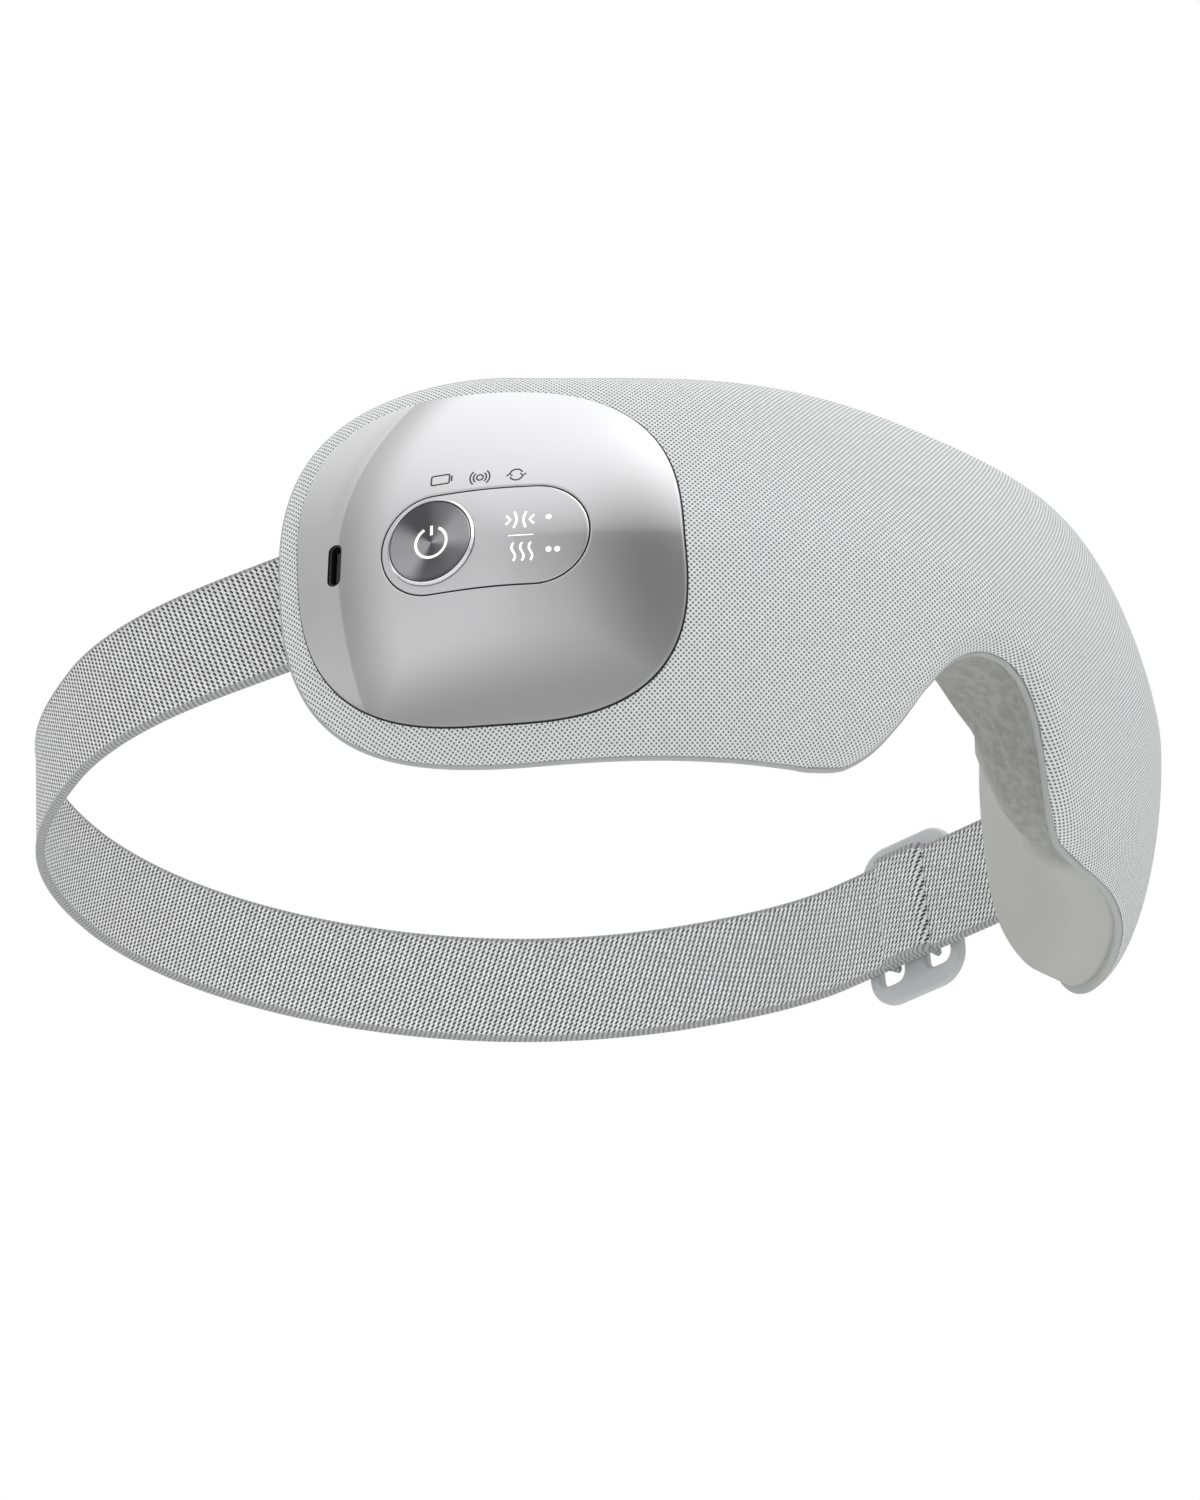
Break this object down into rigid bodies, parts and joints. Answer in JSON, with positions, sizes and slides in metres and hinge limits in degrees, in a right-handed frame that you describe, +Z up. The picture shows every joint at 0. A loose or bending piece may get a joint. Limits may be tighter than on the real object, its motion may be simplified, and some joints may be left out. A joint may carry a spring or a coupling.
{
  "type": "eye massager mask",
  "caption": "Cloth-covered eye massager mask with a padded rear, a silver control panel, air and heat pads inside, and an elastic head strap with a slider.",
  "frame": {"origin": "middle of the cushion's rear face, just above the nose notch, where the mask rests on the bridge of the nose", "axes": "+Z up, +Y from the front of the mask to the back of the head, -X towards the control panel"},
  "size_m": [0.2104, 0.2207, 0.0845],
  "materials": {
    "cloth": "fine woven cloth with a darker dot weave",
    "shell": "moulded, fine texture",
    "frame": "moulded, satin",
    "cushion": "PU leather, grained wall and smooth face",
    "panel_silver": "satin silver paint",
    "button_metal": "spun finish",
    "ring_metal": "polished chamfer",
    "light_pipe": "clear to milky",
    "white_plastic": "satin",
    "black_plastic": "moulded",
    "board": "solder mask",
    "chip": "moulded",
    "steel": "plated",
    "brass": "bare",
    "cell": "heat-shrink sleeve",
    "flat_cable": "flexible",
    "silicone": "translucent",
    "film": "polyimide",
    "webbing": "elastic twill webbing with dark flecks"
  },
  "bodies": {
    "mask": {"air_tubes": "silicone", "battery": "cell", "battery_leads": "flat_cable", "board_chips": "chip", "board_screws": "steel", "button_board": "board", "button_ring": "ring_metal", "control_insert": "panel_silver", "control_panel": "panel_silver", "fabric_cover": "cloth", "face_cushion": "cushion", "far_airbag": "silicone", "far_heating_film": "film", "far_vibration_motor": "steel", "front_shell": "shell", "housing_screws": "steel", "light_guide": "light_pipe", "main_board": "board", "near_airbag": "silicone", "near_heating_film": "film", "near_vibration_motor": "steel", "pump_head": "white_plastic", "pump_motor": "steel", "rear_frame": "frame", "ribbon_cable": "flat_cable", "speaker": "black_plastic", "tact_switch": "black_plastic", "usb_c_port": "steel", "valve_body": "black_plastic"},
    "button": {"power_button": "button_metal", "switch_plunger": "black_plastic"},
    "pump_rotor": {"pump_crank": "brass"},
    "valve_core": {"valve_plunger": "steel"},
    "near_weight": {"near_eccentric_weight": "brass"},
    "far_weight": {"far_eccentric_weight": "brass"},
    "strap": {"head_strap": "webbing", "near_strap_pin": "steel", "far_strap_pin": "steel"},
    "slider": {"tri_glide": "white_plastic", "strap_bight": "webbing"}
  },
  "joints": [
    {"name": "button_press", "type": "slide", "parent": "mask", "child": "button", "axis": [-0.9076, -0.4198, 0.0066], "range_m": [-0.0006, 0], "stiffness_N_per_m": 900},
    {"name": "pump_spin", "type": "hinge", "parent": "mask", "child": "pump_rotor", "pos_m": [0, -0.0156, 0.024], "axis": [1, 0, 0], "continuous": true},
    {"name": "valve_slide", "type": "slide", "parent": "mask", "child": "valve_core", "axis": [0.9925, 0.1226, 0], "range_m": [0, 0.0008], "stiffness_N_per_m": 200},
    {"name": "near_weight_spin", "type": "hinge", "parent": "mask", "child": "near_weight", "pos_m": [-0.03739, -0.00955, -0.016], "axis": [0.9576, -0.2881, 0], "continuous": true},
    {"name": "far_weight_spin", "type": "hinge", "parent": "mask", "child": "far_weight", "pos_m": [0.03739, -0.00955, -0.016], "axis": [0.9576, 0.2881, 0], "continuous": true},
    {"name": "strap_swing", "type": "hinge", "parent": "mask", "child": "strap", "pos_m": [0, 0.053, 0.0083], "axis": [1, 0, 0], "range_deg": [-12, 12]},
    {"name": "slider_shift", "type": "slide", "parent": "strap", "child": "slider", "axis": [-0.0528, 0.9986, 0], "range_m": [-0.008, 0.01]}
  ]
}
